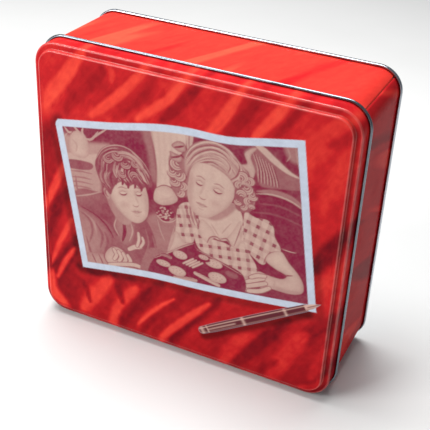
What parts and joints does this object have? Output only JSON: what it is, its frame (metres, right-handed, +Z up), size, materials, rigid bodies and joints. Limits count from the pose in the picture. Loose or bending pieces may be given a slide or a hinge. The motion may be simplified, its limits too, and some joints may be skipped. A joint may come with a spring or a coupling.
{
  "type": "biscuit tin",
  "caption": "Rectangular tinplate storage tin with rounded corners, a slip lid with a raised printed panel, lapped body walls and a double-seamed countersunk base",
  "frame": {"origin": "middle of the footprint at floor level, with the tin standing on its lower long side", "axes": "+X runs along the long side, to the viewer's right; +Y runs from the lid to the base; +Z is up"},
  "size_m": [0.2556, 0.0918, 0.24],
  "materials": {
    "printed_tinplate": "red litho print under gloss varnish, bare tinplate inside",
    "bare_tinplate": "bright rolled tinplate with faint rolling grain"
  },
  "bodies": {
    "tin_body": {"body_wall_upper": "printed_tinplate", "body_wall_lower": "printed_tinplate", "base_panel": "bare_tinplate"},
    "tin_lid": {"lid_shell": "printed_tinplate"}
  },
  "joints": [
    {"name": "tin_lid_pull", "type": "slide", "parent": "tin_body", "child": "tin_lid", "axis": [0, -1, 0], "range_m": [0, 0.12]}
  ]
}
